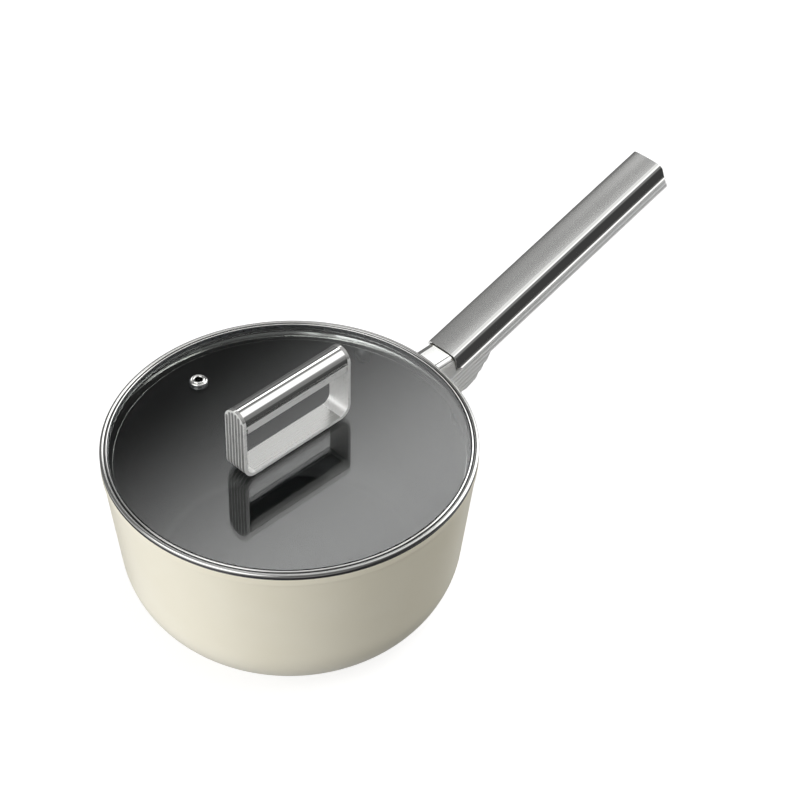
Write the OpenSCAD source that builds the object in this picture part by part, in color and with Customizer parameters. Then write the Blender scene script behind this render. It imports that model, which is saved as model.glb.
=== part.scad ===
// Saucepan with a glass lid. Millimetres, +Z up, handle along +X.
// Origin: centre of the base's underside, on the pan's axis.

/* [Pan] */
// Radius of the wall's outside, carried up to the rim's height
rim_r = 103.3; // [102.8:0.1:103.8]
// Height of the rim above the table
pan_h = 103; // [102:0.5:104]
// Wall thickness
wall_t = 3; // [2.8:0.1:3]
// Floor thickness
floor_t = 6; // [5:0.5:6]
// Lean of the wall from upright, in degrees
wall_lean = 6.3; // [6:0.1:6.5]
// Radius of the belly's curve
belly_r = 49; // [48.5:0.1:49.5]
// Height of the centre of the belly's curve
belly_z = 40.7; // [40.4:0.1:41.4]
// Height of the band below the rim that stands proud of the wall
band_h = 5.5; // [5:0.5:7]

/* [Base disc] */
// Radius of the magnetic disc in the underside
disc_r = 62; // [55:1:66]
// Thickness of the magnetic disc
disc_t = 1.5; // [1:0.1:2]

/* [Lid] */
// Height of the lid ring above the rim
ring_h = 2.5; // [2.4:0.1:3]
// Outer radius of the lid ring
ring_r = 103.2; // [102.8:0.1:103.4]
// Depth of the guide skirt below the ring's top
skirt_h = 11.2; // [10.5:0.1:12]
// Glass thickness
glass_t = 3.8; // [3.5:0.1:3.9]
// Distance of the steam vent from the lid's centre
vent_dist = 71.5; // [66:0.5:76]
// Direction of the steam vent from +X, in degrees
vent_angle = 92.5; // [80:0.5:110]

/* [Lid handle] */
// Length of the lid handle
loop_len = 77.8; // [74:0.2:82]
// Width of the lid handle
loop_w = 14.8; // [14:0.2:15.6]
// Height of the lid handle above the glass
loop_h = 44.8; // [43:0.2:47]
// Thickness of the steel strap
strap_t = 2; // [1.8:0.1:2.2]
// Outer radius of the strap's bends
bend_r = 7.5; // [6:0.5:9]
// Height of the grip tube
grip_h = 12.7; // [12:0.1:13.5]
// Number of flutes on each upright end of the strap
flutes = 6; // [4:1:6]

/* [Handle] */
// Distance from the pan's axis to the shell's near end
handle_x = 117.7; // [117:0.1:119]
// Height of the shell's top at its near end
handle_z = 102.6; // [102:0.1:103.5]
// Rise of the handle, in degrees
handle_tilt = 15.2; // [14.5:0.1:15.5]
// Length of the shell along its top
handle_len = 180; // [172:1:190]
// Half the width of the shell
shell_hw = 11.2; // [11:0.1:11.4]
// Depth of the shell's sides
shell_d = 15; // [14.8:0.1:15.1]
// Sheet thickness of the shell
shell_t = 1.4; // [1.2:0.1:1.4]
// Depth of the whole handle below the shell's top
handle_d = 26.5; // [26:0.1:27.5]
// Half the width of the ribbed underside
arm_hw = 9; // [8.8:0.1:9]

/* [Hidden] */
$fn = 96;

cream = "#d9d2bf";
steel = "#c9cbcc";
cast_grey = "#9a9a98";
nylon_black = "#26262a";
silicone_grey = "#3a3c3e";

// Points on an arc in the plane, from angle a0 to a1.
function arc(cx, cz, r, a0, a1, n = 10) =
    [for (i = [0:n]) [cx + r*cos(a0 + (a1 - a0)*i/n), cz + r*sin(a0 + (a1 - a0)*i/n)]];

// Outline of a rounded channel: flat top, rounded shoulders, sides leaning in.
// hw: half width, d: depth of the foot, lean: sideways run per unit of depth,
// r: shoulder radius, top: height of the flat top.
function channel(hw, d, lean, r, top) =
    let (foot = hw - (d + top - r)*lean)
    concat([[foot, -d]], arc(hw - r, top - r, r, 0, 90, 6),
        arc(r - hw, top - r, r, 90, 180, 6), [[-foot, -d]]);

// ---- pan ----
foot_angle = 50;    // where the belly turns into the foot, below level
floor_angle = 45;   // the same on the inside
rim_round = 1;      // rounding of the rim's edges
wall_slope = tan(wall_lean);
belly_x = rim_r - (pan_h - belly_z)*wall_slope - belly_r/cos(wall_lean);
inner_r = belly_r - wall_t;
foot_r = (belly_z - belly_r*sin(foot_angle))/(1 - sin(foot_angle));
foot_x = belly_x + (belly_r - foot_r)*cos(foot_angle);
floor_r = (belly_z - inner_r*sin(floor_angle) - floor_t)/(1 - sin(floor_angle));
floor_x = belly_x + (inner_r - floor_r)*cos(floor_angle);

// Radius of the leaning wall's outer face at height z.
function wall_r(z) = rim_r - (pan_h - z)*wall_slope;
function wall_in(z) = wall_r(z) - wall_t/cos(wall_lean);

// ---- rivets and the arm's flange ----
rivet_angle = 22;   // each side of the handle
rivet_z = 87.5;
rivet_r = 2.5;
flange_t = 3;
flange_gap = 0.1;
flange_z = [76, 95];
flange_angle = 25;

// ---- lid ----
lid_top = pan_h + ring_h;
glass_r = 98.9;
glass_top = lid_top - 0.2;
glass_bottom = glass_top - glass_t;
seat_z = glass_bottom - 0.4;       // top of the lip that carries the glass
lip_r = 98.2;
groove_r = 99.2;
neck_of_ring_r = 99.7;             // where the ring enters the pan
screw_dx = 25;                     // lid screws, each side of the centre
boss_r = 3.2;
foot_z = glass_top + 0.4;          // underside of the strap's foot
loop_top = glass_top + loop_h;
arch_r = loop_w/2;
arch_z = loop_top - arch_r;
grip_bottom = loop_top - grip_h;
grip_len = loop_len - 2*strap_t - 0.1;
grip_t = 1.2;
m3 = 1.5;                          // radius of the lid screws
gasket_t = 1;
washer_t = 0.8;

// ---- handle ----
arm_top = shell_d + 0.2;           // depth of the arm's top face
shell_lean = 0.158;
shell_round = 3;
core_start = 12;
cap_start = 172.2;
end_slant = 12;                    // the far end leans out below, in degrees
block_top = 88.2;                  // top of the bracket next to the pan
neck_top = 100.9;
m4 = 2;                            // radius of the handle screws
handle_screw_at = [45, 135];

module in_handle_frame() {
    translate([handle_x, 0, handle_z]) rotate([0, -handle_tilt, 0]) children();
}

// Sweeps an outline in Y and Z along +X.
module along_x(length) {
    rotate([90, 0, 90]) linear_extrude(height = length) children();
}

// Everything beyond the slanted far end, set back by the given amount.
module beyond_far_end(back = 0) {
    translate([handle_len - back, 0, 0]) rotate([0, -end_slant, 0])
        translate([0, -40, -60]) cube([40, 80, 90]);
}

module at_rivets() {
    for (side = [-1, 1])
        rotate([0, 0, side*rivet_angle]) translate([wall_r(rivet_z), 0, rivet_z])
            rotate([0, 90 + wall_lean, 0]) children();
}

module pan_body() {
    band_z = pan_h - band_h;
    band_r = rim_r - 0.1;
    outside = concat(
        [[0, disc_t], [disc_r + 0.1, disc_t], [disc_r + 0.1, 0]],
        arc(foot_x, foot_r, foot_r, -90, -foot_angle, 6),
        arc(belly_x, belly_z, belly_r, -foot_angle + 4, -wall_lean, 12),
        [[wall_r(band_z - 0.4), band_z - 0.4], [band_r, band_z]],
        arc(band_r - rim_round, pan_h - rim_round, rim_round, 0, 90, 5));
    inside = concat(
        arc(wall_in(pan_h) + 0.7, pan_h - 0.7, 0.7, 90, 180, 4),
        arc(belly_x, belly_z, inner_r, -wall_lean, -floor_angle, 12),
        arc(floor_x, floor_t + floor_r, floor_r, -floor_angle - 7, -90, 5),
        [[0, floor_t]]);
    color(cream) difference() {
        rotate_extrude() polygon(concat(outside, inside));
        at_rivets() translate([0, 0, -8]) cylinder(r = rivet_r + 0.05, h = 12);
    }
}

module base_disc() {
    color(steel) cylinder(r = disc_r, h = disc_t);
}

// Grooves that run along the handle, spaced down both sides and over the base.
module ribs() {
    groove_r = 1.2;
    bite = 0.45;
    pitch = 3;
    start = -30;
    for (side = [-1, 1], i = [0:8])
        translate([start, side*(arm_hw + groove_r - bite), -17.4 - pitch*i])
            rotate([0, 90, 0]) cylinder(r = groove_r, h = i < 3 ? handle_len - start + 20 : 62, $fn = 24);
    for (y = [-5:2.5:5])
        translate([27, y, -handle_d - groove_r + bite])
            rotate([0, 90, 0]) cylinder(r = groove_r, h = handle_len, $fn = 24);
}

module handle_arm() {
    bracket = [[95, 69], [131, 69], [136.5, 71], [149.9, 84], [149.9, 95.5],
        [122.6, block_top], [95, block_top]];
    strip = concat([[arm_hw, -arm_top]], arc(arm_hw - 3, 3 - handle_d, 3, 0, -90, 5),
        arc(3 - arm_hw, 3 - handle_d, 3, -90, -180, 5), [[-arm_hw, -arm_top]]);
    color(cast_grey) difference() {
        union() {
            rotate([90, 0, 0]) translate([0, 0, -arm_hw]) linear_extrude(height = 2*arm_hw)
                polygon(bracket);
            in_handle_frame() translate([25, 0, 0]) along_x(handle_len) polygon(strip);
            translate([95, -6.8, block_top - 1]) cube([32, 13.6, 10]);
            rotate([0, 0, -flange_angle]) rotate_extrude(angle = 2*flange_angle)
                polygon([[wall_r(flange_z[0]), flange_z[0]],
                    [wall_r(flange_z[0]) + flange_gap + flange_t, flange_z[0]],
                    [wall_r(flange_z[1]) + flange_gap + flange_t, flange_z[1]],
                    [wall_r(flange_z[1]), flange_z[1]]]);
        }
        rotate_extrude() polygon([[0, 60], [wall_r(60) + flange_gap, 60],
            [wall_r(120) + flange_gap, 120], [0, 120]]);
        in_handle_frame() beyond_far_end();
        in_handle_frame() ribs();
        at_rivets() translate([0, 0, -2]) cylinder(r = rivet_r + 0.05, h = 8);
        in_handle_frame() for (x = handle_screw_at) {
            translate([x, 0, -handle_d - 1]) cylinder(r = m4 + 0.2, h = handle_d);
            translate([x, 0, -handle_d - 1]) cylinder(r = 3.8, h = 4.4);
        }
    }
}

module handle_neck() {
    color(steel) difference() {
        translate([98, 0, neck_top]) along_x(30)
            polygon(channel(10, neck_top - block_top - 0.1, 0.12, 3, 0));
        translate([90, -6.9, block_top - 1]) cube([60, 13.8, 10.2]);
        cylinder(r = rim_r + 0.2, h = 140);
        cylinder(r = wall_r(flange_z[1]) + flange_gap + flange_t + 0.3, h = flange_z[1] + 0.2);
        in_handle_frame() translate([-0.3, -30, -40]) cube([60, 60, 60]);
    }
}

module handle_shell() {
    inner_top = -shell_t;
    color(steel) in_handle_frame() difference() {
        along_x(handle_len + 10)
            polygon(channel(shell_hw, shell_d, shell_lean, shell_round, 0));
        translate([-1, 0, 0]) along_x(handle_len + 12)
            polygon(channel(shell_hw - shell_t, shell_d + 1, shell_lean,
                shell_round - shell_t, inner_top));
        beyond_far_end();
    }
}

// Outline that fits the inside of the shell.
module core_outline() {
    gap = 0.1;
    polygon(channel(shell_hw - shell_t - gap, arm_top - gap, shell_lean,
        shell_round - shell_t, -shell_t - gap));
}

module handle_core() {
    color(nylon_black) in_handle_frame() difference() {
        translate([core_start, 0, 0]) along_x(cap_start - core_start - 0.2) core_outline();
        for (x = handle_screw_at)
            translate([x, 0, -arm_top - 1]) cylinder(r = m4 + 0.02, h = 11);
    }
}

module handle_end_cap() {
    color(steel) in_handle_frame() difference() {
        translate([cap_start, 0, 0]) along_x(20) core_outline();
        beyond_far_end(0.8);
    }
}

module handle_screws() {
    color(steel) in_handle_frame() for (x = handle_screw_at) translate([x, 0, -handle_d]) difference() {
        union() {
            translate([0, 0, 1]) cylinder(r = 3.6, h = 2.4);
            translate([0, 0, 3.4]) cylinder(r = m4, h = 16);
        }
        cylinder(r = 1.4, h = 2.4, $fn = 6);
    }
}

module bracket_rivets() {
    outer_z = flange_gap + flange_t + 0.05;
    inner_z = -wall_t - 0.15;
    head_r = 5.2;
    dome_h = 2.2;
    dome_r = (head_r*head_r + dome_h*dome_h)/(2*dome_h);
    dome_a = asin(head_r/dome_r);
    profile = concat([[0, outer_z + 1.4], [4.2, outer_z + 1.4], [5, outer_z + 0.8], [5, outer_z],
        [rivet_r, outer_z], [rivet_r, inner_z]],
        arc(0, inner_z - dome_h + dome_r, dome_r, dome_a - 90, -90, 8));
    color(nylon_black) at_rivets() rotate_extrude() polygon(profile);
}

// ---- lid ----
module lid_ring() {
    t = lid_top;
    bead_r = 1.3;
    profile = concat(
        arc(ring_r - bead_r, t - bead_r, bead_r, 0, 150, 10),
        [[100.4, t - 0.45], [groove_r + 0.2, t - 0.45], [groove_r, t - 0.65],
        [groove_r, seat_z], [lip_r, seat_z], [lip_r, t - 6.5], [96.9, t - 8.7],
        [96.4, t - skirt_h], [96.9, t - skirt_h], [97.35, t - 8.9],
        [neck_of_ring_r, t - 5], [neck_of_ring_r, pan_h],
        [ring_r - 0.3, pan_h], [ring_r, pan_h + 0.4]]);
    color(steel) rotate_extrude($fn = 180) polygon(profile);
}

module lid_seal() {
    color(silicone_grey) rotate_extrude($fn = 180)
        polygon([[lip_r, seat_z], [groove_r, seat_z], [groove_r, glass_top - 0.5],
            [glass_r, glass_top - 0.5], [glass_r, glass_bottom], [lip_r, glass_bottom]]);
}

module at_vent() {
    rotate([0, 0, vent_angle]) translate([vent_dist, 0, 0]) children();
}

module at_lid_screws() {
    for (side = [-1, 1]) translate([side*screw_dx, 0, 0]) children();
}

module lid_glass() {
    edge = 0.4;
    color([0.75, 0.8, 0.8, 0.4]) difference() {
        rotate_extrude($fn = 180) polygon([[0, glass_bottom], [glass_r, glass_bottom],
            [glass_r, glass_top - edge], [glass_r - edge, glass_top], [0, glass_top]]);
        at_vent() translate([0, 0, glass_bottom - 1]) cylinder(r = 4.1, h = glass_t + 2);
        at_lid_screws() translate([0, 0, glass_bottom - 1])
            cylinder(r = boss_r + 0.4, h = glass_t + 2);
    }
}

module vent_eyelet() {
    hole_r = 2.3;
    barrel_r = 3.45;
    flange_r = 4.85;
    top = glass_top + 0.4;
    bottom = glass_bottom - 0.4;
    color(steel) at_vent() rotate_extrude() polygon(concat(
        [[hole_r, bottom - 0.7], [flange_r, bottom - 0.7], [flange_r, bottom],
        [barrel_r, bottom], [barrel_r, top], [flange_r, top]],
        arc(flange_r - 0.7, top, 0.7, 0, 70, 4), [[3.5, top + 0.8]],
        arc(hole_r + 0.5, top + 1.4, 0.5, 0, 180, 6)));
}

module vent_gasket() {
    sleeve_in = 3.5;
    sleeve_out = 4.05;
    flange_r = 5.2;
    color(silicone_grey) at_vent() rotate_extrude()
        polygon([[sleeve_in, glass_bottom - 0.4], [flange_r, glass_bottom - 0.4],
            [flange_r, glass_bottom], [sleeve_out, glass_bottom], [sleeve_out, glass_top],
            [flange_r, glass_top], [flange_r, glass_top + 0.4], [sleeve_in, glass_top + 0.4]]);
}

// Arch that both ends of the lid handle follow, in Y and Z.
module arch(r, bottom) {
    polygon(concat([[r, bottom]], arc(0, arch_z, r, 0, 180, 24), [[-r, bottom]]));
}

module lid_handle_strap() {
    half = loop_len/2;
    r_in = bend_r - strap_t;
    cz = foot_z + bend_r;
    up = loop_top + 1;
    bent = concat([[half, up]], arc(half - bend_r, cz, bend_r, 0, -90, 10),
        arc(bend_r - half, cz, bend_r, -90, -180, 10), [[-half, up], [strap_t - half, up]],
        arc(bend_r - half, cz, r_in, 180, 270, 10), arc(half - bend_r, cz, r_in, -90, 0, 10),
        [[half - strap_t, up]]);
    flute_r = 1.5;
    flute_pitch = 2.35;
    color(steel) difference() {
        union() {
            intersection() {
                rotate([90, 0, 0]) translate([0, 0, -loop_w]) linear_extrude(height = 2*loop_w)
                    polygon(bent);
                translate([-half - 1, 0, 0]) along_x(loop_len + 2) arch(arch_r, foot_z - 1);
            }
            at_lid_screws() translate([0, 0, glass_bottom + 0.2])
                cylinder(r = boss_r, h = foot_z - glass_bottom);
        }
        for (side = [-1, 1], i = [0:flutes - 1]) {
            y = (i - (flutes - 1)/2)*flute_pitch;
            top = arch_z + sqrt(pow(arch_r - 1, 2) - y*y);
            translate([side*(half + flute_r - 0.3), y, cz])
                cylinder(r = flute_r, h = top - cz, $fn = 24);
        }
        at_lid_screws() translate([0, 0, glass_bottom]) cylinder(r = m3 + 0.02, h = 5.2);
    }
}

module lid_handle_grip() {
    r = arch_r - 0.05;
    notch_h = 3.3;
    notch = 1;
    color(steel) difference() {
        translate([-grip_len/2, 0, 0]) along_x(grip_len) difference() {
            arch(r, grip_bottom);
            arch(r - grip_t, grip_bottom - 1);
        }
        for (side = [-1, 1])
            translate([side*(grip_len/2) - notch, -loop_w, grip_bottom - 1])
                cube([2*notch, 2*loop_w, notch_h + 1]);
    }
}

module lid_grip_liner() {
    color(nylon_black) translate([-grip_len/2 + 0.2, 0, 0]) along_x(grip_len - 0.4)
        arch(arch_r - 0.05 - grip_t - 0.05, grip_bottom + 0.8);
}

module lid_foot_pad() {
    color(silicone_grey) difference() {
        translate([-31, -6, glass_top]) cube([62, 12, foot_z - glass_top]);
        at_lid_screws() translate([0, 0, glass_top - 1]) cylinder(r = boss_r + 0.1, h = 3);
    }
}

module washer(outer_r, thickness) {
    difference() {
        cylinder(r = outer_r, h = thickness);
        translate([0, 0, -1]) cylinder(r = m3 + 0.2, h = thickness + 2);
    }
}

module lid_screw_gaskets() {
    color(silicone_grey) at_lid_screws() translate([0, 0, glass_bottom - gasket_t])
        washer(5.4, gasket_t);
}

module lid_screw_washers() {
    color(steel) at_lid_screws() translate([0, 0, glass_bottom - gasket_t - washer_t])
        washer(4.8, washer_t);
}

module lid_screws() {
    head_h = 2;
    head_z = glass_bottom - gasket_t - washer_t - head_h;
    color(steel) at_lid_screws() translate([0, 0, head_z]) difference() {
        union() {
            cylinder(r = 3, h = head_h);
            cylinder(r = m3, h = foot_z - head_z + 0.2);
        }
        translate([0, 0, -1]) cylinder(r = 1.2, h = 2.2, $fn = 6);
    }
}

pan_body();
base_disc();
handle_arm();
handle_neck();
handle_shell();
handle_core();
handle_end_cap();
handle_screws();
bracket_rivets();
lid_ring();
lid_seal();
lid_glass();
vent_eyelet();
vent_gasket();
lid_handle_strap();
lid_handle_grip();
lid_grip_liner();
lid_foot_pad();
lid_screws();
lid_screw_washers();
lid_screw_gaskets();
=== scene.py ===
# %% [markdown]
# # A saucepan with a glass lid
#
# This lesson dresses a finished construction model of a 20 cm saucepan. The
# model gives every part's place. Here the parts that catch the eye are made
# again with soft edges and fine detail, and each part gets the finish that it
# has in a kitchen: enamel, non-stick coating, polished and brushed steel, cast
# metal, glass, silicone and nylon.

import math

import bmesh
import bpy
from mathutils import Matrix, Vector


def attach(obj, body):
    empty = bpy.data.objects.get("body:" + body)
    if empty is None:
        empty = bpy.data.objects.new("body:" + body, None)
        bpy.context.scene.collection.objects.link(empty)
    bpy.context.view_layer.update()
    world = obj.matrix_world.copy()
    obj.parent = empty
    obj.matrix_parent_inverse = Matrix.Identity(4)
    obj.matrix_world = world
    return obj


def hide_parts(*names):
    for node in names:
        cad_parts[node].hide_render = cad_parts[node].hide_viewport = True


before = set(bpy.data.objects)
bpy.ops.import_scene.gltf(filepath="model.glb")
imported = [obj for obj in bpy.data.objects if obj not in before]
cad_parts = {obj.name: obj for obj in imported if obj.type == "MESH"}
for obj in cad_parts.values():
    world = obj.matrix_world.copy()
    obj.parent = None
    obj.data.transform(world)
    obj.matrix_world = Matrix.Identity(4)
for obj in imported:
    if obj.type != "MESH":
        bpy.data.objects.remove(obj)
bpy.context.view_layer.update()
MM = 0.001
print("parts in the construction model:", len(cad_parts))

# %% [markdown]
# ## The sizes that the pieces share
#
# The pan stands on the floor with its axis upright, and the handle points
# along X and climbs a little. Lengths are written in millimetres and turned to
# metres where a mesh is made.

# %% Sizes
RIM_R, PAN_H, WALL_T, FLOOR_T = 103.3, 103.0, 3.0, 6.0
WALL_LEAN, BELLY_R, BELLY_Z = 6.3, 49.0, 40.7
BAND_H = 5.5
LID_TOP, RING_R, SKIRT_H = 105.5, 103.2, 11.2
GLASS_R, GLASS_TOP, GLASS_T = 98.9, 105.3, 3.8
SEAT_Z, LIP_R, GROOVE_R, RING_NECK_R = 101.1, 98.2, 99.2, 99.7
VENT_DIST, VENT_ANGLE = 71.5, 92.5
LOOP_LEN, LOOP_W, LOOP_TOP, FOOT_Z = 77.8, 14.8, 150.1, 105.7
STRAP_T, BEND_R, GRIP_H, GRIP_T = 2.0, 7.5, 12.7, 1.2
SCREW_DX = 25.0
HANDLE_X, HANDLE_Z, HANDLE_TILT, HANDLE_LEN = 117.7, 102.6, 15.2, 180.0
SHELL_HW, SHELL_D, SHELL_T, SHELL_LEAN = 11.2, 15.0, 1.4, 0.158
END_SLANT = 12.0
NECK_TOP, NECK_FOOT, NECK_HW = 100.9, 88.3, 10.6
GAP = 0.3
handle_place = (Matrix.Translation(Vector((HANDLE_X, 0, HANDLE_Z)) * MM)
                @ Matrix.Rotation(math.radians(-HANDLE_TILT), 4, "Y"))
print("rim", 2 * RIM_R, "mm wide,", PAN_H, "mm high")

# %% [markdown]
# ## Hand tools
#
# Each piece starts from a primitive and is shaped with the same edit-mode
# tools as by hand. These helpers only choose what a tool works on, and repeat
# the steps that every piece needs.

# %% Choose what the tools work on
def work_on(piece):
    if bpy.context.object and bpy.context.object.mode != "OBJECT":
        bpy.ops.object.mode_set(mode="OBJECT")
    bpy.ops.object.select_all(action="DESELECT")
    piece.select_set(True)
    bpy.context.view_layer.objects.active = piece


def edit(piece):
    work_on(piece)
    bpy.ops.object.mode_set(mode="EDIT")
    bpy.ops.mesh.select_all(action="SELECT")


def pick(test, kind="FACE"):
    """In edit mode, selects what passes test(centre in mm, normal)."""
    bpy.ops.mesh.select_mode(type=kind)
    bpy.ops.mesh.select_all(action="DESELECT")
    mesh = bmesh.from_edit_mesh(bpy.context.object.data)
    parts = {"FACE": mesh.faces, "EDGE": mesh.edges, "VERT": mesh.verts}[kind]
    count = 0
    for part in parts:
        if kind == "VERT":
            centre, normal = part.co, part.normal
        elif kind == "EDGE":
            centre = (part.verts[0].co + part.verts[1].co) / 2
            normal = (part.verts[1].co - part.verts[0].co).normalized()
        else:
            centre, normal = part.calc_center_median(), part.normal
        if test(centre / MM, normal):
            part.select_set(True)
            count += 1
    mesh.select_flush_mode()
    bmesh.update_edit_mesh(bpy.context.object.data)
    return count


def tidy(piece, inside=False):
    """Doubles merged, faces turned outwards, back to object mode."""
    edit(piece)
    bpy.ops.mesh.remove_doubles(threshold=0.002 * MM)
    bpy.ops.mesh.normals_make_consistent(inside=inside)
    bpy.ops.object.mode_set(mode="OBJECT")


def face_up(piece):
    """Turns all faces round if the highest one looks down."""
    if max(piece.data.polygons, key=lambda f: f.center.z).normal.z < 0:
        edit(piece)
        bpy.ops.mesh.flip_normals()
        bpy.ops.object.mode_set(mode="OBJECT")


def finish_with(piece, kind, **settings):
    """Adds a modifier and applies it at once."""
    work_on(piece)
    modifier = piece.modifiers.new(kind.title(), kind)
    for name, value in settings.items():
        setattr(modifier, name, value)
    bpy.ops.object.modifier_apply(modifier=modifier.name)


def soften(piece, width, angle=30, segments=3):
    """Rounds every edge that is sharper than the angle."""
    finish_with(piece, "BEVEL", width=width * MM, segments=segments,
                limit_method="ANGLE", angle_limit=math.radians(angle),
                harden_normals=False, miter_outer="MITER_ARC")


def cut(piece, cutter, operation="DIFFERENCE"):
    finish_with(piece, "BOOLEAN", object=cutter, operation=operation,
                solver="EXACT")
    bpy.data.objects.remove(cutter)


def smooth(piece, angle=32):
    """Smooth shading up to an angle, led by the large faces."""
    work_on(piece)
    bpy.ops.object.shade_smooth_by_angle(angle=math.radians(angle))
    finish_with(piece, "WEIGHTED_NORMAL", weight=100, keep_sharp=True)


print("hand tools ready")

# %% [markdown]
# Two ways of starting turn up again and again. A turned piece is a line that
# is drawn point by point, by extruding one corner, and then spun round an
# axis, as on a lathe. A block is a cube that is given its size at once.

# %% Draw, turn, block and rod
def arc(cx, cz, r, a0, a1, n=10):
    """Points in the plane on an arc from angle a0 to a1, in degrees."""
    turns = [math.radians(a0 + (a1 - a0) * i / n) for i in range(n + 1)]
    return [(cx + r * math.cos(t), cz + r * math.sin(t)) for t in turns]


def drawn(name, points):
    """A chain of edges through points in mm, extruded from one corner."""
    points = [Vector(p) * MM for p in points]
    bpy.ops.object.select_all(action="DESELECT")
    bpy.ops.mesh.primitive_plane_add(size=MM, location=points[0])
    piece = bpy.context.object
    piece.name = name
    bpy.ops.object.transform_apply(location=True)
    edit(piece)
    bpy.ops.mesh.select_mode(type="VERT")
    bpy.ops.mesh.merge(type="CENTER")
    for here, there in zip(points, points[1:]):
        bpy.ops.mesh.extrude_vertices_move(
            TRANSFORM_OT_translate={"value": there - here})
    bpy.ops.object.mode_set(mode="OBJECT")
    return piece


def turned(name, profile, at=(0, 0), steps=192):
    """A profile of (radius, height) in mm, spun round an upright axis."""
    piece = drawn(name, [(at[0] + r, at[1], z) for r, z in profile])
    edit(piece)
    bpy.ops.mesh.spin(steps=steps, angle=2 * math.pi, use_auto_merge=False,
                      center=(at[0] * MM, at[1] * MM, 0), axis=(0, 0, 1))
    tidy(piece)
    return piece


def block(name, low, high):
    """A cube stretched between two corners in mm."""
    low, high = Vector(low) * MM, Vector(high) * MM
    bpy.ops.object.select_all(action="DESELECT")
    bpy.ops.mesh.primitive_cube_add(size=1, location=(low + high) / 2,
                                    scale=high - low)
    piece = bpy.context.object
    piece.name = name
    bpy.ops.object.transform_apply(location=True, scale=True)
    return piece


def rod(name, at, radius, height, vertices=48):
    """An upright cylinder that stands on a point, in mm."""
    middle = (Vector(at) + Vector((0, 0, height / 2))) * MM
    bpy.ops.object.select_all(action="DESELECT")
    bpy.ops.mesh.primitive_cylinder_add(vertices=vertices, radius=radius * MM,
                                        depth=height * MM, location=middle)
    piece = bpy.context.object
    piece.name = name
    bpy.ops.object.transform_apply(location=True)
    return piece


def place(piece, matrix):
    """Moves a piece that was made level into its tilted place."""
    work_on(piece)
    piece.matrix_world = matrix
    bpy.ops.object.transform_apply(location=True, rotation=True, scale=True)


print("starting shapes ready")

# %% [markdown]
# ## Finishes
#
# A finish is a small network of nodes. One function adds a node with its
# settings and links. Colours are written as hex values, as in a paint shop,
# and turned to the linear values that the renderer works in. The size of each
# pattern is given in millimetres, and a noise texture's scale is how many of
# them fit in a metre.

# %% Colour and node helpers
def paint(hex_value):
    """An sRGB hex value as linear red, green, blue and alpha."""
    parts = [int(hex_value[i:i + 2], 16) / 255 for i in (1, 3, 5)]
    return [c / 12.92 if c <= 0.04045 else ((c + 0.055) / 1.055) ** 2.4
            for c in parts] + [1.0]


def add(tree, kind, settings=None, inputs=None):
    """One node, its settings, and its inputs as values or as links."""
    made = tree.nodes.new("ShaderNode" + kind)
    for name, value in (settings or {}).items():
        setattr(made, name, value)
    for name, value in (inputs or {}).items():
        if isinstance(value, bpy.types.NodeSocket):
            tree.links.new(value, made.inputs[name])
        else:
            made.inputs[name].default_value = value
    return made


def finish(name, shader, colours, patch, rough, stretch=(1, 1, 1), grain=1.0,
           bump=0.1, depth=0.02, turn=(0, 0, 0), detail=3.0):
    """A Principled finish with mottled colour, uneven gloss and fine grain.

    colours: two hex values, patch: size of the mottling in mm,
    rough: lowest and highest roughness, stretch: how the grain is drawn out,
    grain: its size in mm, depth: its height in mm.
    """
    made = bpy.data.materials.new(name)
    made.use_nodes = True
    tree = made.node_tree
    tree.nodes.clear()
    where = add(tree, "TexCoord").outputs["Object"]
    mottle = add(tree, "TexNoise", {}, {"Vector": where, "Scale": 1 / (patch * MM),
                                        "Detail": 2.0}).outputs["Fac"]
    colour = add(tree, "Mix", {"data_type": "RGBA"},
                 {"Factor": mottle, 6: paint(colours[0]), 7: paint(colours[1])})
    lined = add(tree, "Mapping", {}, {"Vector": where, "Rotation": turn,
                                      "Scale": stretch}).outputs[0]
    fine = add(tree, "TexNoise", {}, {"Vector": lined, "Scale": 1 / (grain * MM),
                                      "Detail": detail}).outputs["Fac"]
    gloss = add(tree, "MapRange", {}, {"Value": fine, "From Min": 0.3,
                                       "From Max": 0.7, "To Min": rough[0],
                                       "To Max": rough[1]}).outputs[0]
    relief = add(tree, "Bump", {}, {"Height": fine, "Strength": bump,
                                    "Distance": depth * MM}).outputs[0]
    surface = add(tree, "BsdfPrincipled", {},
                  {"Base Color": colour.outputs[2], "Roughness": gloss,
                   "Normal": relief, **shader})
    add(tree, "OutputMaterial", {}, {"Surface": surface.outputs[0]})
    return made


METAL = {"Metallic": 1.0}
print("finish helper ready")

# %% [markdown]
# **Enamel and coatings.** The outside is a porcelain-like enamel, sprayed and
# fired: a warm cream with a very fine orange peel and a satin gloss. The
# inside is a non-stick coating, near black and evenly dull.

# %% Enamel and coatings
enamel = finish("fired_enamel_cream", {"IOR": 1.5, "Coat Weight": 0.3,
                                       "Coat Roughness": 0.2},
                ("#E6E1CF", "#E1DBC6"), 28, (0.34, 0.42), grain=0.9,
                bump=0.12, depth=0.012)
coating = finish("non_stick_coating", {"IOR": 1.5}, ("#1C1D1E", "#242526"), 6,
                 (0.46, 0.52), grain=3, bump=0.02, depth=0.004)
print("coatings:", enamel.name, coating.name)
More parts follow.
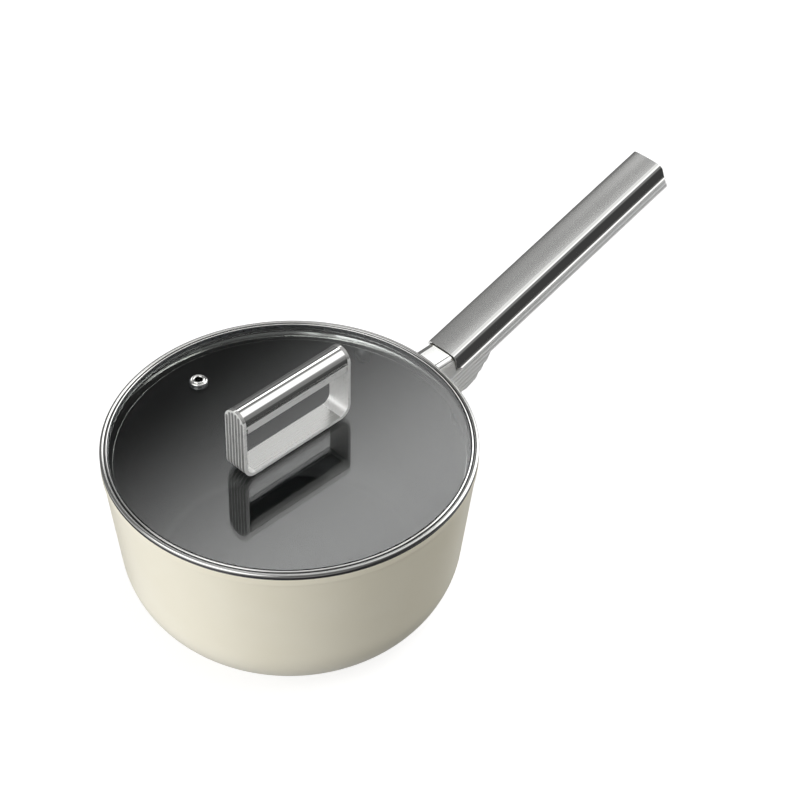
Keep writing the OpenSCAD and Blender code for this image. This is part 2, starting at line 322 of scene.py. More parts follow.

# %% [markdown]
# ** Steel.** Polished steel mirrors the room. Satin steel is rougher, and its
# lines run across the handle and along the lid handle's foot. They are drawn
# coarser and fainter than real belt marks. The pearled and cast finishes are
# paler than real metal: only a part of each acts as metal, so that they stay
# light where they have nothing bright to mirror. The flute finish, also only
# partly metal, is a darker grey: painted shade for the lid handle's flutes.

# %% Steel and cast metal
polished = finish("polished_steel", METAL, ("#D6D6D4", "#DDDDDB"), 30,
                  (0.05, 0.1), stretch=(0.08, 1, 1), grain=0.5, bump=0.03,
                  depth=0.004)
tilt = (0, math.radians(HANDLE_TILT), 0)
satin = finish("satin_steel_across", METAL, ("#CFCFCD", "#D8D8D6"), 20,
               (0.25, 0.26), stretch=(1, 0.02, 1), grain=1.6, bump=0.02,
               depth=0.004, turn=tilt)
satin_long = finish("satin_steel_along", METAL, ("#B4B4B2", "#BCBCBA"), 20,
                    (0.27, 0.28), stretch=(0.02, 1, 1), grain=1.6, bump=0.01,
                    depth=0.004)
cast = finish("cast_metal_blasted", {"Metallic": 0.3}, ("#DADAD9", "#E6E6E5"), 12,
              (0.42, 0.52), grain=0.8, bump=0.08, depth=0.01)
# Painted shade: a darker grey copy of satin steel, given to the flutes so that they read as
# shaded.
painted_flute_shade = finish("satin_steel_painted_flute_shade", {"Metallic": 0.5}, ("#8E8E8C", "#989896"), 12,
                (0.26, 0.34), stretch=(1, 1, 0.05), grain=0.5, bump=0.03, depth=0.005)
pearled = finish("satin_steel_pearled", {"Metallic": 0.3}, ("#E4E4E2", "#ECECEA"), 12,
                 (0.26, 0.34), stretch=(0.05, 1, 1), grain=0.5, bump=0.03, depth=0.005)
rivet_coat = finish("coated_steel", {"Metallic": 0.6}, ("#3A3B3C", "#444546"), 6,
                    (0.2, 0.28), grain=0.8, bump=0.05, depth=0.005)
print("steels:", polished.name, satin.name, satin_long.name, cast.name,
      painted_flute_shade.name, pearled.name, rivet_coat.name)

# %% [markdown]
# **Turned steel** has its hairlines in circles. A noise that is read by the
# distance from the axis and by the height, and not by the angle, draws them.

# %% Turned steel
def turned_steel(name, colours, rough, ring_mm, bump, depth):
    made = finish(name, METAL, colours, 25, rough, grain=ring_mm, bump=bump,
                  depth=depth, detail=2.0)
    tree = made.node_tree
    where = tree.nodes["Texture Coordinate"].outputs["Object"]
    split = add(tree, "SeparateXYZ", {}, {0: where})
    x2 = add(tree, "Math", {"operation": "POWER"}, {0: split.outputs[0], 1: 2.0})
    y2 = add(tree, "Math", {"operation": "POWER"}, {0: split.outputs[1], 1: 2.0})
    both = add(tree, "Math", {"operation": "ADD"}, {0: x2.outputs[0], 1: y2.outputs[0]})
    radius = add(tree, "Math", {"operation": "SQRT"}, {0: both.outputs[0]})
    rings = add(tree, "CombineXYZ", {}, {0: radius.outputs[0], 2: split.outputs[2]})
    tree.links.new(rings.outputs[0], tree.nodes["Mapping"].inputs["Vector"])
    return made


ring_steel = turned_steel("polished_steel_turned", ("#D8D8D6", "#DEDEDC"),
                          (0.05, 0.1), 0.4, 0.03, 0.004)
disc_steel = turned_steel("machined_steel_disc", ("#BEBEBC", "#CACAC8"),
                          (0.22, 0.34), 0.7, 0.3, 0.03)
bead_steel = turned_steel("satin_steel_turned", ("#B4B4B2", "#BCBCBA"),
                          (0.16, 0.22), 0.4, 0.04, 0.005)
# Painted shade: a dark steel grey for the pan's rim top, its recess and the lid ring's
# seams.
dark_steel_painted_shade = turned_steel("dark_steel_painted_shade_turned", ("#3C3C3D", "#48484A"),
                          (0.35, 0.45), 0.3, 0.1, 0.01)
print("turned:", ring_steel.name, disc_steel.name, bead_steel.name, dark_steel_painted_shade.name)

# %% [markdown]
# **Glass, silicone and nylon.** The lid is tempered float glass: clear, with
# the faintest grey-green. Silicone is matte and a little dusty, and the nylon
# keeps the sparkle grain of its mould.

# %% Glass, silicone and nylon
glass = finish("tempered_glass", {"IOR": 1.5, "Transmission Weight": 1.0},
               ("#F3F6F5", "#F6F8F7"), 60, (0.0, 0.012), grain=8, bump=0.0,
               depth=0.001)
silicone = finish("silicone_grey", {"IOR": 1.43, "Sheen Weight": 0.15},
                  ("#3A3C3E", "#424446"), 6, (0.55, 0.7), grain=0.4, bump=0.1,
                  depth=0.01)
nylon = finish("moulded_nylon_black", {"IOR": 1.53}, ("#1C1C1E", "#232326"), 5,
               (0.4, 0.55), grain=0.25, bump=0.3, depth=0.02)
print("others:", glass.name, silicone.name, nylon.name)

# %% [markdown]
# A piece can carry more than one finish. The first one covers it, and the next
# ones are given to the faces that pass a test.

# %% Give finishes to faces
def dress(piece, first, *more):
    """more: pairs of a finish and a test(centre in mm, normal)."""
    piece.data.materials.clear()
    piece.data.materials.append(first)
    for number, (other, test) in enumerate(more, 1):
        piece.data.materials.append(other)
        for face in piece.data.polygons:
            if test(face.center / MM, face.normal):
                face.material_index = number


def reach(centre):
    """Distance from the pan's axis."""
    return math.hypot(centre.x, centre.y)


print("dressing ready")

# %% [markdown]
# ## The pan
#
# The pan is one piece, so it is turned here in one go: up the outside from the
# recess for the base disc, over the rim, and down the inside to the middle of
# the floor. The belly is a large arc that meets the leaning wall, and a band
# below the rim stands a hair proud of it. The rim's top and the recess are bare
# steel, painted a dark grey as painted shade.

# %% Turn the pan
slope = math.tan(math.radians(WALL_LEAN))
belly_x = (RIM_R - (PAN_H - BELLY_Z) * slope
           - BELLY_R / math.cos(math.radians(WALL_LEAN)))
FOOT_ANGLE, FLOOR_ANGLE = 50, 45


def wall_r(z):
    return RIM_R - (PAN_H - z) * slope


def wall_in(z):
    return wall_r(z) - WALL_T / math.cos(math.radians(WALL_LEAN))


sin_foot, sin_floor = math.sin(math.radians(FOOT_ANGLE)), math.sin(math.radians(FLOOR_ANGLE))
foot_r = (BELLY_Z - BELLY_R * sin_foot) / (1 - sin_foot)
foot_x = belly_x + (BELLY_R - foot_r) * math.cos(math.radians(FOOT_ANGLE))
inner_r = BELLY_R - WALL_T
floor_r = (BELLY_Z - inner_r * sin_floor - FLOOR_T) / (1 - sin_floor)
floor_x = belly_x + (inner_r - floor_r) * math.cos(math.radians(FLOOR_ANGLE))
DISC_R, DISC_T = 62.0, 1.5
band_z, band_r = PAN_H - BAND_H, RIM_R - 0.1
outside = ([(0, DISC_T), (40, DISC_T), (DISC_R + 0.1, DISC_T), (DISC_R + 0.1, 0.25),
            (DISC_R + 0.35, 0)]
           + arc(foot_x, foot_r, foot_r, -90, -FOOT_ANGLE - 3, 12)
           + arc(belly_x, BELLY_Z, BELLY_R, -FOOT_ANGLE, -WALL_LEAN, 26)
           + [(wall_r(70), 70), (wall_r(85), 85), (wall_r(band_z - 0.9), band_z - 0.9)]
           + arc(wall_r(band_z) + 0.02, band_z - 0.1, 0.18, -80, -10, 3)
           + [(band_r, band_z + 0.7), (band_r, PAN_H - 1.4)]
           + arc(band_r - 1, PAN_H - 1, 1, 0, 90, 6))
inside = (arc(wall_in(PAN_H) + 0.7, PAN_H - 0.7, 0.7, 90, 180, 5)
          + [(wall_in(85), 85), (wall_in(65), 65)]
          + arc(belly_x, BELLY_Z, inner_r, -WALL_LEAN, -FLOOR_ANGLE, 22)
          + arc(floor_x, FLOOR_T + floor_r, floor_r, -FLOOR_ANGLE - 4, -90, 12)
          + [(40, FLOOR_T), (0, FLOOR_T)])
pan = turned("pan_shell", outside + inside)
smooth(pan)
# The rim's top and the recess get the dark grey of painted shade.
dress(pan, enamel,
      (coating, lambda c, n: c.z > FLOOR_T - 1 and (n.z > 0.5 or n.x * c.x + n.y * c.y < 0)),
      (dark_steel_painted_shade, lambda c, n: c.z > PAN_H - 0.7
       or (c.z < DISC_T + 0.1 and reach(c) < DISC_R + 0.2)))
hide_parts("pan_body")
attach(pan, "pan")
print("pan:", len(pan.data.polygons), "faces")

# %% [markdown]
# **The base disc** is pressed into the recess so that the pan also works on
# induction. It shows the circles of its facing cut, with a soft outer edge.

# %% Turn the base disc
disc = turned("base_plate", [(0, 0), (30, 0), (DISC_R - 0.5, 0), (DISC_R - 0.1, 0.3),
                             (DISC_R, DISC_T), (30, DISC_T), (0, DISC_T)], steps=128)
smooth(disc)
dress(disc, disc_steel)
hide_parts("base_disc")
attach(disc, "pan")
print("base disc:", 2 * DISC_R, "mm across")

# %% [markdown]
# **The rivets** that hold the arm show inside as low domes, a little glossier
# than the coating round them. Each is turned standing up and then laid over
# through the wall.

# %% Turn the rivets
RIVET_ANGLE, RIVET_Z, RIVET_R = 22, 87.5, 2.5
head_r, dome_h = 5.2, 2.2
dome_r = (head_r ** 2 + dome_h ** 2) / (2 * dome_h)
dome_a = math.degrees(math.asin(head_r / dome_r))
outer, inner = 3.15, -WALL_T - 0.15
rivet_line = ([(0, outer + 1.4), (4.2, outer + 1.4)]
              + arc(4.3, outer + 0.7, 0.7, 80, 0, 4)
              + [(5, outer), (RIVET_R, outer), (RIVET_R, inner), (head_r - 0.1, inner)]
              + arc(0, inner - dome_h + dome_r, dome_r, dome_a - 91, -90, 14))
rivets = []
for side in (-1, 1):
    rivet = turned(f"rivet_{'left' if side > 0 else 'right'}", rivet_line, steps=48)
    place(rivet, Matrix.Rotation(math.radians(side * RIVET_ANGLE), 4, "Z")
          @ Matrix.Translation(Vector((wall_r(RIVET_Z), 0, RIVET_Z)) * MM)
          @ Matrix.Rotation(math.radians(90 + WALL_LEAN), 4, "Y"))
    smooth(rivet)
    dress(rivet, rivet_coat, (cast, lambda c, n: reach(c) > wall_r(RIVET_Z) + 1))
    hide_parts("bracket_rivets")
    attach(rivet, "pan")
    rivets.append(rivet)
print("rivets:", len(rivets))

# %% [markdown]
# ## The handle
#
# The shell is a folded sheet. Its section is drawn once, with a faint crown on
# top, rounded shoulders and a small lip that rolls outwards along each lower
# edge. It is pushed out to its length and cut at a slant at the far end. Plane
# cuts around an arc round its near corners, and then it gets its thickness.

# %% Make the handle shell
CROWN, SHOULDER_R, CORNER_R, CORNER_CUTS, LIP_OUT = 0.35, 3.9, 6.0, 8, 1.15
flat = SHELL_HW - SHOULDER_R
crown_r = (flat ** 2 + CROWN ** 2) / (2 * CROWN)
crown_a = math.degrees(math.asin(flat / crown_r))
foot_y = SHELL_HW - (SHELL_D - SHOULDER_R) * SHELL_LEAN
half_line = ([(foot_y + LIP_OUT - 0.05, -SHELL_D + 0.15), (foot_y + LIP_OUT, -SHELL_D + 0.4),
              (foot_y + 0.25, -SHELL_D + 1), (foot_y + 3 * SHELL_LEAN, -SHELL_D + 3)]
             + arc(SHELL_HW - SHOULDER_R, -SHOULDER_R - CROWN, SHOULDER_R,
                   0, 90 - crown_a, 9)
             + arc(0, -crown_r, crown_r, 90 - crown_a * 0.8, 90, 4))
section = half_line + [(-y, z) for y, z in reversed(half_line[:-1])]
shell = drawn("handle_cover", [(0, y, z) for y, z in section])
edit(shell)
bpy.ops.mesh.extrude_region_move(
    TRANSFORM_OT_translate={"value": (HANDLE_LEN * MM + 10 * MM, 0, 0)})
bpy.ops.mesh.select_all(action="SELECT")
slant = math.radians(END_SLANT)
bpy.ops.mesh.bisect(plane_co=(HANDLE_LEN * MM, 0, 0),
                    plane_no=(math.cos(slant), 0, math.sin(slant)),
                    clear_outer=True, use_fill=False)
tidy(shell)
face_up(shell)
edit(shell)
for step in range(CORNER_CUTS):
    lean = math.radians((step + 0.5) * 90 / CORNER_CUTS)
    outward = Vector((-math.cos(lean), 0, -math.sin(lean)))
    bpy.ops.mesh.select_all(action="SELECT")
    bpy.ops.mesh.bisect(
        plane_co=(Vector((CORNER_R, 0, CORNER_R - SHELL_D)) + outward * CORNER_R) * MM,
        plane_no=outward, clear_outer=True, use_fill=False)
bpy.ops.object.mode_set(mode="OBJECT")
finish_with(shell, "SOLIDIFY", thickness=SHELL_T * MM, offset=-1.0,
            use_even_offset=True)
tidy(shell)
face_up(shell)
soften(shell, 0.3, 40, 3)
smooth(shell, 30)
dress(shell, polished,
      (satin, lambda c, n: n.z > 0.985 and c.z > -1))
place(shell, handle_place)
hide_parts("handle_shell")
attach(shell, "pan")
print("shell:", len(shell.data.polygons), "faces, section of", len(section), "points")

# %% [markdown]
# **The neck** joins the shell to the pan. It starts as a cube that narrows
# towards its foot. Its long top edges are bevelled round, the pan hollows one
# side, the shell's end trims the other, and room for the arm is cut out below.
# Its top is polished and the rest is pearled.

# %% Make the neck
NECK_TAPER, NECK_ROUND, ARM_ROOM = 0.88, 5.0, 6.9
neck = block("handle_collar", (98, -NECK_HW, NECK_FOOT), (126, NECK_HW, NECK_TOP))
edit(neck)
pick(lambda c, n: c.z < NECK_FOOT + 0.1, "VERT")
bpy.ops.transform.resize(value=(1, NECK_TAPER, 1))
pick(lambda c, n: abs(n.x) > 0.99 and c.z > NECK_TOP - 0.1, "EDGE")
bpy.ops.mesh.bevel(offset=NECK_ROUND * MM, segments=14, affect="EDGES")
bpy.ops.object.mode_set(mode="OBJECT")
edit(neck)
tilt_rad = math.radians(HANDLE_TILT)
end_plane = handle_place @ Vector((-GAP * MM, 0, 0))
bpy.ops.mesh.bisect(plane_co=end_plane, plane_no=(math.cos(tilt_rad), 0, math.sin(tilt_rad)),
                    clear_outer=True, use_fill=True)
bpy.ops.object.mode_set(mode="OBJECT")
cut(neck, rod("pan_gauge", (0, 0, 80), RIM_R + 0.2, 40, 256))
cut(neck, block("arm_gauge", (90, -ARM_ROOM, 86), (140, ARM_ROOM, 97.4)))
tidy(neck)
soften(neck, 0.35, 40, 3)
smooth(neck, 30)
dress(neck, polished, (pearled, lambda c, n: n.z < 0.5))
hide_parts("handle_neck")
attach(neck, "pan")
print("neck:", len(neck.data.polygons), "faces")

# %% [markdown]
# ## The lid
#
# The ring is one steel section. Its bead rests on the rim, a lip carries the
# glass in its seal, and a skirt hangs into the pan as a guide. A narrow seam
# parts the bead from the collar round the glass. The seam and the ring's neck
# and underside on the rim are painted a dark grey as painted shade.

# %% Turn the lid ring
BEAD_R, SEAM_IN, SEAM_OUT, SEAM_DEPTH = 1.25, 100.2, 100.75, 1.2
bead = (RING_R - BEAD_R, LID_TOP - BEAD_R)
ring_line = (arc(*bead, BEAD_R, -62, 150, 20)
             + [(SEAM_OUT, LID_TOP - SEAM_DEPTH), (SEAM_IN, LID_TOP - SEAM_DEPTH)]
             + arc(99.65, LID_TOP - 0.7, 0.55, 0, 90, 5)
             + arc(99.5, LID_TOP - 0.45, 0.3, 90, 180, 4)
             + [(GROOVE_R, SEAT_Z), (LIP_R + 0.15, SEAT_Z), (LIP_R, SEAT_Z - 0.15),
                (LIP_R, LID_TOP - 6.3), (LIP_R - 0.1, LID_TOP - 6.6),
                (96.9, LID_TOP - 8.7), (96.45, LID_TOP - 11)]
             + arc(96.65, LID_TOP - SKIRT_H + 0.25, 0.25, 190, 340, 5)
             + [(97.35, LID_TOP - 8.9), (RING_NECK_R - 0.2, LID_TOP - 5.3),
                (RING_NECK_R, LID_TOP - 4.9), (RING_NECK_R, PAN_H + 0.15),
                (RING_NECK_R + 0.15, PAN_H), (102.2, PAN_H)])
ring = turned("lid_ring_steel", ring_line + ring_line[:1], steps=256)
smooth(ring, 28)
# The seam and the ring's neck and underside on the rim get the dark grey of painted shade.
dress(ring, ring_steel,
      (bead_steel, lambda c, n: reach(c) > SEAM_OUT + 0.05 and c.z > PAN_H),
      (dark_steel_painted_shade, lambda c, n: SEAM_IN - 0.05 < reach(c) < SEAM_OUT + 0.05
       and c.z < LID_TOP - 0.8
       or (reach(c) > RING_NECK_R and c.z < LID_TOP - 2.2)))
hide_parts("lid_ring")
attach(ring, "lid")
print("ring:", len(ring.data.polygons), "faces")

# %% [markdown]
# **The glass** starts as a cylinder. Its edges are ground round, and the holes
# for the vent and the two screws are cut out.

# %% Cut the glass
glass_bottom = GLASS_TOP - GLASS_T
vent = (VENT_DIST * math.cos(math.radians(VENT_ANGLE)),
        VENT_DIST * math.sin(math.radians(VENT_ANGLE)))
pane = rod("lid_pane", (0, 0, glass_bottom), GLASS_R, GLASS_T, 256)
soften(pane, 0.4, 60, 3)
cut(pane, rod("vent_drill", (vent[0], vent[1], glass_bottom - 1), 4.1, 6, 64))
for side in (-1, 1):
    cut(pane, rod("screw_drill", (side * SCREW_DX, 0, glass_bottom - 1), 3.6, 6, 64))
tidy(pane)
smooth(pane, 10)
dress(pane, glass)
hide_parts("lid_glass")
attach(pane, "lid")
print("glass:", len(pane.data.polygons), "faces")

# %% [markdown]
# **The vent eyelet** is a tube with a flat flange below the glass and a rolled
# one above it.

# %% Turn the vent eyelet
HOLE_R, BARREL_R, FLANGE_R = 2.3, 3.45, 4.85
top, bottom = GLASS_TOP + 0.4, glass_bottom - 0.4
eyelet_line = ([(HOLE_R + 0.2, bottom - 0.7), (FLANGE_R - 0.2, bottom - 0.7),
                (FLANGE_R, bottom - 0.5), (FLANGE_R, bottom), (BARREL_R, bottom),
                (BARREL_R, top), (FLANGE_R, top)]
               + arc(FLANGE_R - 0.55, top + 0.12, 0.55, 0, 120, 7)
               + arc(3.75, top + 0.5, 0.2, 300, 180, 4)
               + arc(HOLE_R + 0.62, top + 0.8, 0.6, 0, 180, 10))
eyelet = turned("vent_ring", eyelet_line + [(HOLE_R, bottom - 0.5)] + eyelet_line[:1],
                at=vent, steps=64)
smooth(eyelet, 35)
dress(eyelet, polished)
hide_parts("vent_eyelet")
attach(eyelet, "lid")
print("eyelet at", [round(v, 1) for v in vent], "mm")

# %% [markdown]
# ## The lid handle
#
# The strap is one flat bar, bent twice. One upright end starts as a thin
# block. Its lower face is spun round the first bend, pushed along the foot,
# spun round the second bend and pushed up again. The tops are then rounded to
# half circles by bevelling their corners until they meet.

# %% Bend the strap
half, half_w = LOOP_LEN / 2, LOOP_W / 2
bend_z = FOOT_Z + BEND_R
strap = block("lid_strap", (-half, -half_w, bend_z), (STRAP_T - half, half_w, LOOP_TOP))
edit(strap)
pick(lambda c, n: n.z < -0.9)
bpy.ops.mesh.delete(type="ONLY_FACE")
pick(lambda c, n: c.z < bend_z + 0.01, "VERT")
bpy.ops.mesh.select_mode(type="EDGE")
bpy.ops.mesh.spin(steps=12, angle=math.pi / 2, use_auto_merge=False,
                  center=Vector((BEND_R - half, 0, bend_z)) * MM, axis=(0, 1, 0))
bpy.ops.mesh.extrude_region_move(
    TRANSFORM_OT_translate={"value": ((LOOP_LEN - 2 * BEND_R) * MM, 0, 0)})
bpy.ops.mesh.spin(steps=12, angle=math.pi / 2, use_auto_merge=False,
                  center=Vector((half - BEND_R, 0, bend_z)) * MM, axis=(0, 1, 0))
bpy.ops.mesh.extrude_region_move(
    TRANSFORM_OT_translate={"value": (0, 0, (LOOP_TOP - bend_z) * MM)})
bpy.ops.mesh.edge_face_add()
tidy(strap)
print("bent strap reaches z", round(max(v.co.z for v in strap.data.vertices) / MM, 2))

# %% Round the tops of the strap
edit(strap)
pick(lambda c, n: abs(n.x) > 0.9 and c.z > LOOP_TOP - 0.1, "EDGE")
bpy.ops.mesh.bevel(offset=(half_w - 0.001) * MM, segments=20, affect="EDGES",
                   clamp_overlap=True)
tidy(strap)
soften(strap, 0.3, 50, 3)
print("strap:", len(strap.data.polygons), "faces")

# %% [markdown]
# ** The flutes** on the ends are made with cutters that run down the plate and
# round the bend. Each is a thin rod with a rounded top, which stops just inside
# the plate's border, and its lower end is spun on round the bend's centre. All
# of them are joined and cut out at once, and the flutes are painted a darker
# grey as painted shade.

# %% Cut the flutes
FLUTES, FLUTE_R, FLUTE_PITCH, FLUTE_DEPTH = 6, 1.15, 2.35, 0.42
arch_z, border = LOOP_TOP - half_w, 1.0


def flute_cutter(y):
    """A rod outside the left plate that follows its bend."""
    x = -half - FLUTE_R + FLUTE_DEPTH
    top = arch_z + math.sqrt((half_w - border) ** 2 - y ** 2)
    rod_piece = rod("flute_cutter", (x, y, bend_z), FLUTE_R, top - bend_z - FLUTE_R, 24)
    edit(rod_piece)
    pick(lambda c, n: n.z > 0.9)
    for rise, shrink in ((0.5, 0.87), (0.366, 0.575), (0.1, 0.3)):
        bpy.ops.mesh.extrude_region_move(
            TRANSFORM_OT_translate={"value": (0, 0, rise * FLUTE_R * MM)})
        bpy.ops.transform.resize(value=(shrink, shrink, 1))
    pick(lambda c, n: n.z < -0.9)
    bpy.ops.mesh.spin(steps=12, angle=math.pi / 2, use_auto_merge=False,
                      center=Vector((BEND_R - half, 0, bend_z)) * MM, axis=(0, 1, 0))
    bpy.ops.mesh.select_all(action="SELECT")
    bpy.ops.mesh.remove_doubles(threshold=0.002 * MM)
    bpy.ops.mesh.normals_make_consistent(inside=False)
    bpy.ops.object.mode_set(mode="OBJECT")
    return rod_piece


def sunk(c):
    """How far a point lies under the strap's outer face, in mm."""
    if c.z > bend_z:
        return half - abs(c.x)
    return BEND_R - math.hypot(abs(c.x) - half + BEND_R, c.z - bend_z)


cutters = []
for number in range(FLUTES):
    offset = (number - (FLUTES - 1) / 2) * FLUTE_PITCH
    for side in (-1, 1):
        cutter = flute_cutter(offset)
        if side > 0:
            place(cutter, Matrix.Scale(-1, 4, (1, 0, 0)))
            tidy(cutter)
        cutters.append(cutter)
work_on(cutters[0])
for cutter in cutters:
    cutter.select_set(True)
bpy.ops.object.join()
cut(strap, cutters[0])
for side in (-1, 1):
    boss = rod("boss", (side * SCREW_DX, 0, glass_bottom + 0.2), 3.2,
               FOOT_Z - glass_bottom + 0.3, 48)
    cut(strap, boss, "UNION")
tidy(strap)
smooth(strap, 28)
# The faces inside the flutes carry the darker grey of painted shade.
dress(strap, polished, (satin_long, lambda c, n: n.z > 0.9 and c.z < FOOT_Z + 3),
      (pearled, lambda c, n: abs(c.x) > half - BEND_R or abs(n.y) > 0.3),
      (painted_flute_shade, lambda c, n: abs(n.y) > 0.1 and abs(c.y) < half_w - 0.5
       and sunk(c) > 0.03))
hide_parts("lid_handle_strap")
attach(strap, "lid")
print("fluted strap:", len(strap.data.polygons), "faces")

# %% [markdown]
# **The grip** is a half-round cover between the two ends. A block has its long
# top edges bevelled into the arch, is opened below and at its ends, and gets
# its wall. Each lower end has a small notch, and a fine groove runs along each
# side at the foot of the arch.

# %% Make the grip
grip_half = (LOOP_LEN - 2 * STRAP_T - 0.1) / 2
grip_w = half_w - 0.05
grip_foot = LOOP_TOP - GRIP_H
grip = block("lid_grip_cover", (-grip_half, -grip_w, grip_foot),
             (grip_half, grip_w, LOOP_TOP - 0.05))
edit(grip)
pick(lambda c, n: abs(n.x) > 0.9 and c.z > LOOP_TOP - 0.2, "EDGE")
bpy.ops.mesh.bevel(offset=(grip_w - 0.001) * MM, segments=24, affect="EDGES",
                   clamp_overlap=True)
pick(lambda c, n: n.z < -0.9 or abs(n.x) > 0.9)
bpy.ops.mesh.delete(type="FACE")
tidy(grip)
face_up(grip)
finish_with(grip, "SOLIDIFY", thickness=GRIP_T * MM, offset=-1.0, use_even_offset=True)
NOTCH, NOTCH_H = 1.0, 3.3
for side in (-1, 1):
    cut(grip, block("notch", (side * grip_half - NOTCH, -LOOP_W, grip_foot - 1),
                    (side * grip_half + NOTCH, LOOP_W, grip_foot + NOTCH_H)))
    groove = block("seam_cutter", (-LOOP_LEN, side * grip_w - 0.25, arch_z - 0.45),
                   (LOOP_LEN, side * grip_w + 0.25, arch_z - 0.15))
    cut(grip, groove)
tidy(grip)
soften(grip, 0.15, 40, 2)
smooth(grip, 28)
dress(grip, polished, (pearled, lambda c, n: abs(n.y) > 0.97 and c.z < arch_z - 0.4))
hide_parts("lid_handle_grip")
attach(grip, "lid")
print("grip:", len(grip.data.polygons), "faces")

# %% [markdown]
# ## Parts that keep their construction shape
#
# The arm, the core, the end cap, the lining, the seals, the pad, the washers
# and the screws keep their construction shape. They only change their finish.

# %% Dress the other parts
kept = {
    "handle_arm": cast, "handle_core": nylon, "handle_end_cap": polished,
    "handle_screws": polished, "lid_seal": silicone, "vent_gasket": silicone,
    "lid_grip_liner": nylon, "lid_foot_pad": silicone, "lid_screws": polished,
    "lid_screw_washers": polished, "lid_screw_gaskets": silicone,
}
for name, material in kept.items():
    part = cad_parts[name]
    part.data.materials.clear()
    part.data.materials.append(material)
print("dressed:", ", ".join(kept))

# %% [markdown]
# ## The camera
#
# A long lens stands 1.3 m away and looks down by about 41 degrees. Its place is
# given along three directions: to the right, away and up, where the handle
# points about halfway between right and away.

# %% Place the camera
HANDLE_TURN = math.radians(45.5)
LOOK_DOWN, ROLL = math.radians(41.34), math.radians(-1.03)
right = Vector((math.cos(HANDLE_TURN), -math.sin(HANDLE_TURN), 0))
away = Vector((math.sin(HANDLE_TURN), math.cos(HANDLE_TURN), 0))
up = Vector((0, 0, 1))
look = away * math.cos(LOOK_DOWN) - up * math.sin(LOOK_DOWN)
screen_up = away * math.sin(LOOK_DOWN) + up * math.cos(LOOK_DOWN)
DISTANCE, SIDE_STEP, UP_STEP = 1305.6, 59.6, 23.0
eye = (Vector((0, 0, LID_TOP)) + right * SIDE_STEP + screen_up * UP_STEP
       - look * DISTANCE) * MM
cam_x = right * math.cos(ROLL) - screen_up * math.sin(ROLL)
cam_y = right * math.sin(ROLL) + screen_up * math.cos(ROLL)
camera = bpy.data.objects.new("camera", bpy.data.cameras.new("camera"))
bpy.context.scene.collection.objects.link(camera)
camera.data.lens, camera.data.sensor_width = 108.0, 36.0
camera.data.clip_start, camera.data.clip_end = 0.05, 50.0
camera.matrix_world = Matrix((
    (cam_x.x, cam_y.x, -look.x, eye.x), (cam_x.y, cam_y.y, -look.y, eye.y),
    (cam_x.z, cam_y.z, -look.z, eye.z), (0, 0, 0, 1)))
bpy.context.scene.camera = camera
print("camera stands", round(eye.length, 3), "m away")

# %% [markdown]
# ## Floor and light
#
# The studio is a pale floor under a dim dome. One large soft light stands in
# front on the left and another behind on the right. The smaller bright and dark
# areas are placed where the glass and the steel mirror them towards the camera.
# Each area is the part of the dome where the direction lies between limits.

# %% Lay the floor
bpy.ops.object.select_all(action="DESELECT")
bpy.ops.mesh.primitive_circle_add(vertices=96, radius=4.0, fill_type="NGON")
floor = bpy.context.object
floor.name = "studio_floor"
pale = finish("pale_floor", {"Emission Color": paint("#FFFFFF"), "Emission Strength": 0.72},
              ("#A6A6A6", "#A8A8A8"), 400, (0.7, 0.8), grain=30, bump=0.0)
dress(floor, pale)
floor.visible_diffuse = False
floor.visible_glossy = False
print("floor", floor.dimensions.x, "m wide")

# %% Light the dome
world = bpy.data.worlds.new("soft_studio")
bpy.context.scene.world = world
world.use_nodes = True
sky = world.node_tree
sky.nodes.clear()
way = add(sky, "TexCoord").outputs["Generated"]


def along(axis):
    return add(sky, "VectorMath", {"operation": "DOT_PRODUCT"},
               {0: way, 1: axis}).outputs["Value"]


to_right, to_away, to_up = along(right), along(away), along(up)


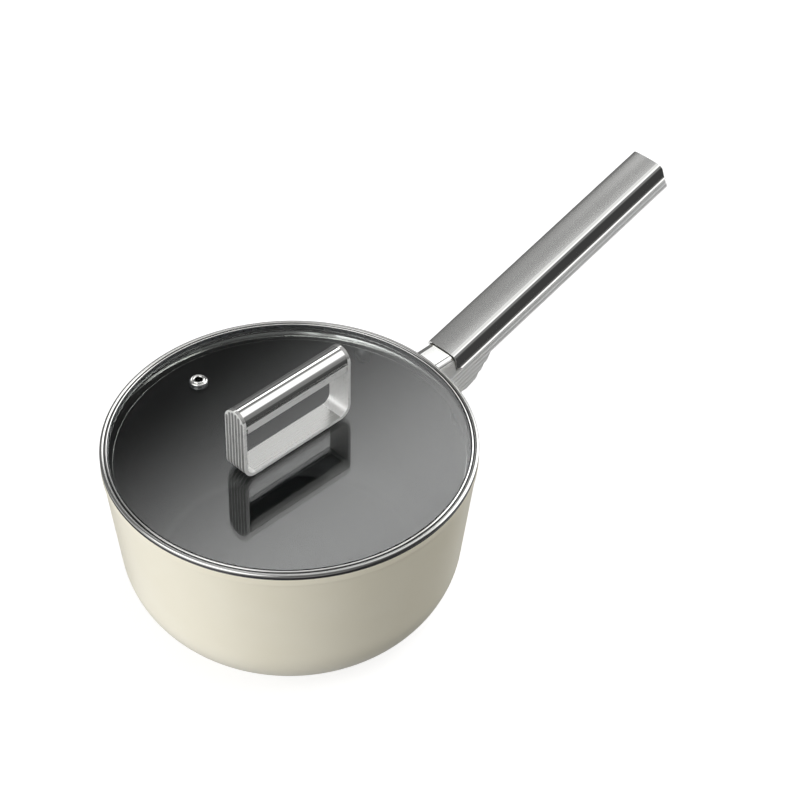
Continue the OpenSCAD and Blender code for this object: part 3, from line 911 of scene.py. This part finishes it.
def between(value, start, end):
    """0 at start and 1 at end, softly, either way round."""
    rising = start < end
    return add(sky, "MapRange", {"interpolation_type": "SMOOTHSTEP"},
               {"Value": value, "From Min": min(start, end),
                "From Max": max(start, end), "To Min": 0.0 if rising else 1.0,
                "To Max": 1.0 if rising else 0.0}).outputs[0]


def lit(level, brightness, *limits):
    """The dome so far, with an area of another brightness laid over it."""
    mask = limits[0]
    for other in limits[1:]:
        mask = add(sky, "Math", {"operation": "MULTIPLY"},
                   {0: mask, 1: other}).outputs[0]
    return add(sky, "Mix", {"data_type": "FLOAT"},
               {0: mask, 2: level, 3: brightness}).outputs[0]


to_low_left = along(right * -0.74 - up * 0.67)
to_low_right = along(right * 0.75 - up * 0.65)
to_high_right = along(right * 0.5 + up * 0.866)
to_front_light = along(right * -0.68 - away * 0.68 + up * 0.26)
to_back_light = along(right * 0.84 + away * 0.48 + up * 0.26)
to_glass_light = along(right + 2 * up)
DOME = 0.27
level = lit(DOME, 0.36, between(to_up, -0.3, -0.6))
level = lit(level, 0.1, between(to_up, -0.26, -0.16), between(to_up, 0.14, 0.06))
level = lit(level, 0.9, between(to_low_left, 0.75, 0.92))
level = lit(level, 2.8, between(to_front_light, 0.72, 0.92))
level = lit(level, 3.3, between(to_back_light, 0.78, 0.93))
level = lit(level, 0.06, between(to_low_right, 0.7, 0.9))
level = lit(level, 1.6, between(to_high_right, 0.88, 0.95))
level = lit(level, 0.3, between(to_right, -0.02, -0.12), between(to_away, 0.3, 0.45),
            between(to_up, 0.6, 0.75), between(to_right, -0.6, -0.4))
level = lit(level, 0.1, between(to_right, -0.3, -0.16), between(to_away, 0.3, 0.5),
            between(to_up, 0.45, 0.55), between(to_right, 0.25, 0.05))
level = lit(level, 2.9, between(to_glass_light, 1.215, 1.39),
            between(to_right, -0.3, -0.16), between(to_away, 0.2, 0.4),
            between(to_up, 0.82, 0.75))
level = lit(level, 1.1, between(to_up, 0.86, 0.94))
background = add(sky, "Background", {}, {"Color": level, "Strength": 1.0})
add(sky, "OutputWorld", {}, {"Surface": background.outputs[0]})
bpy.context.scene.view_settings.view_transform = "Standard"
print("dome made of", len(sky.nodes), "nodes")
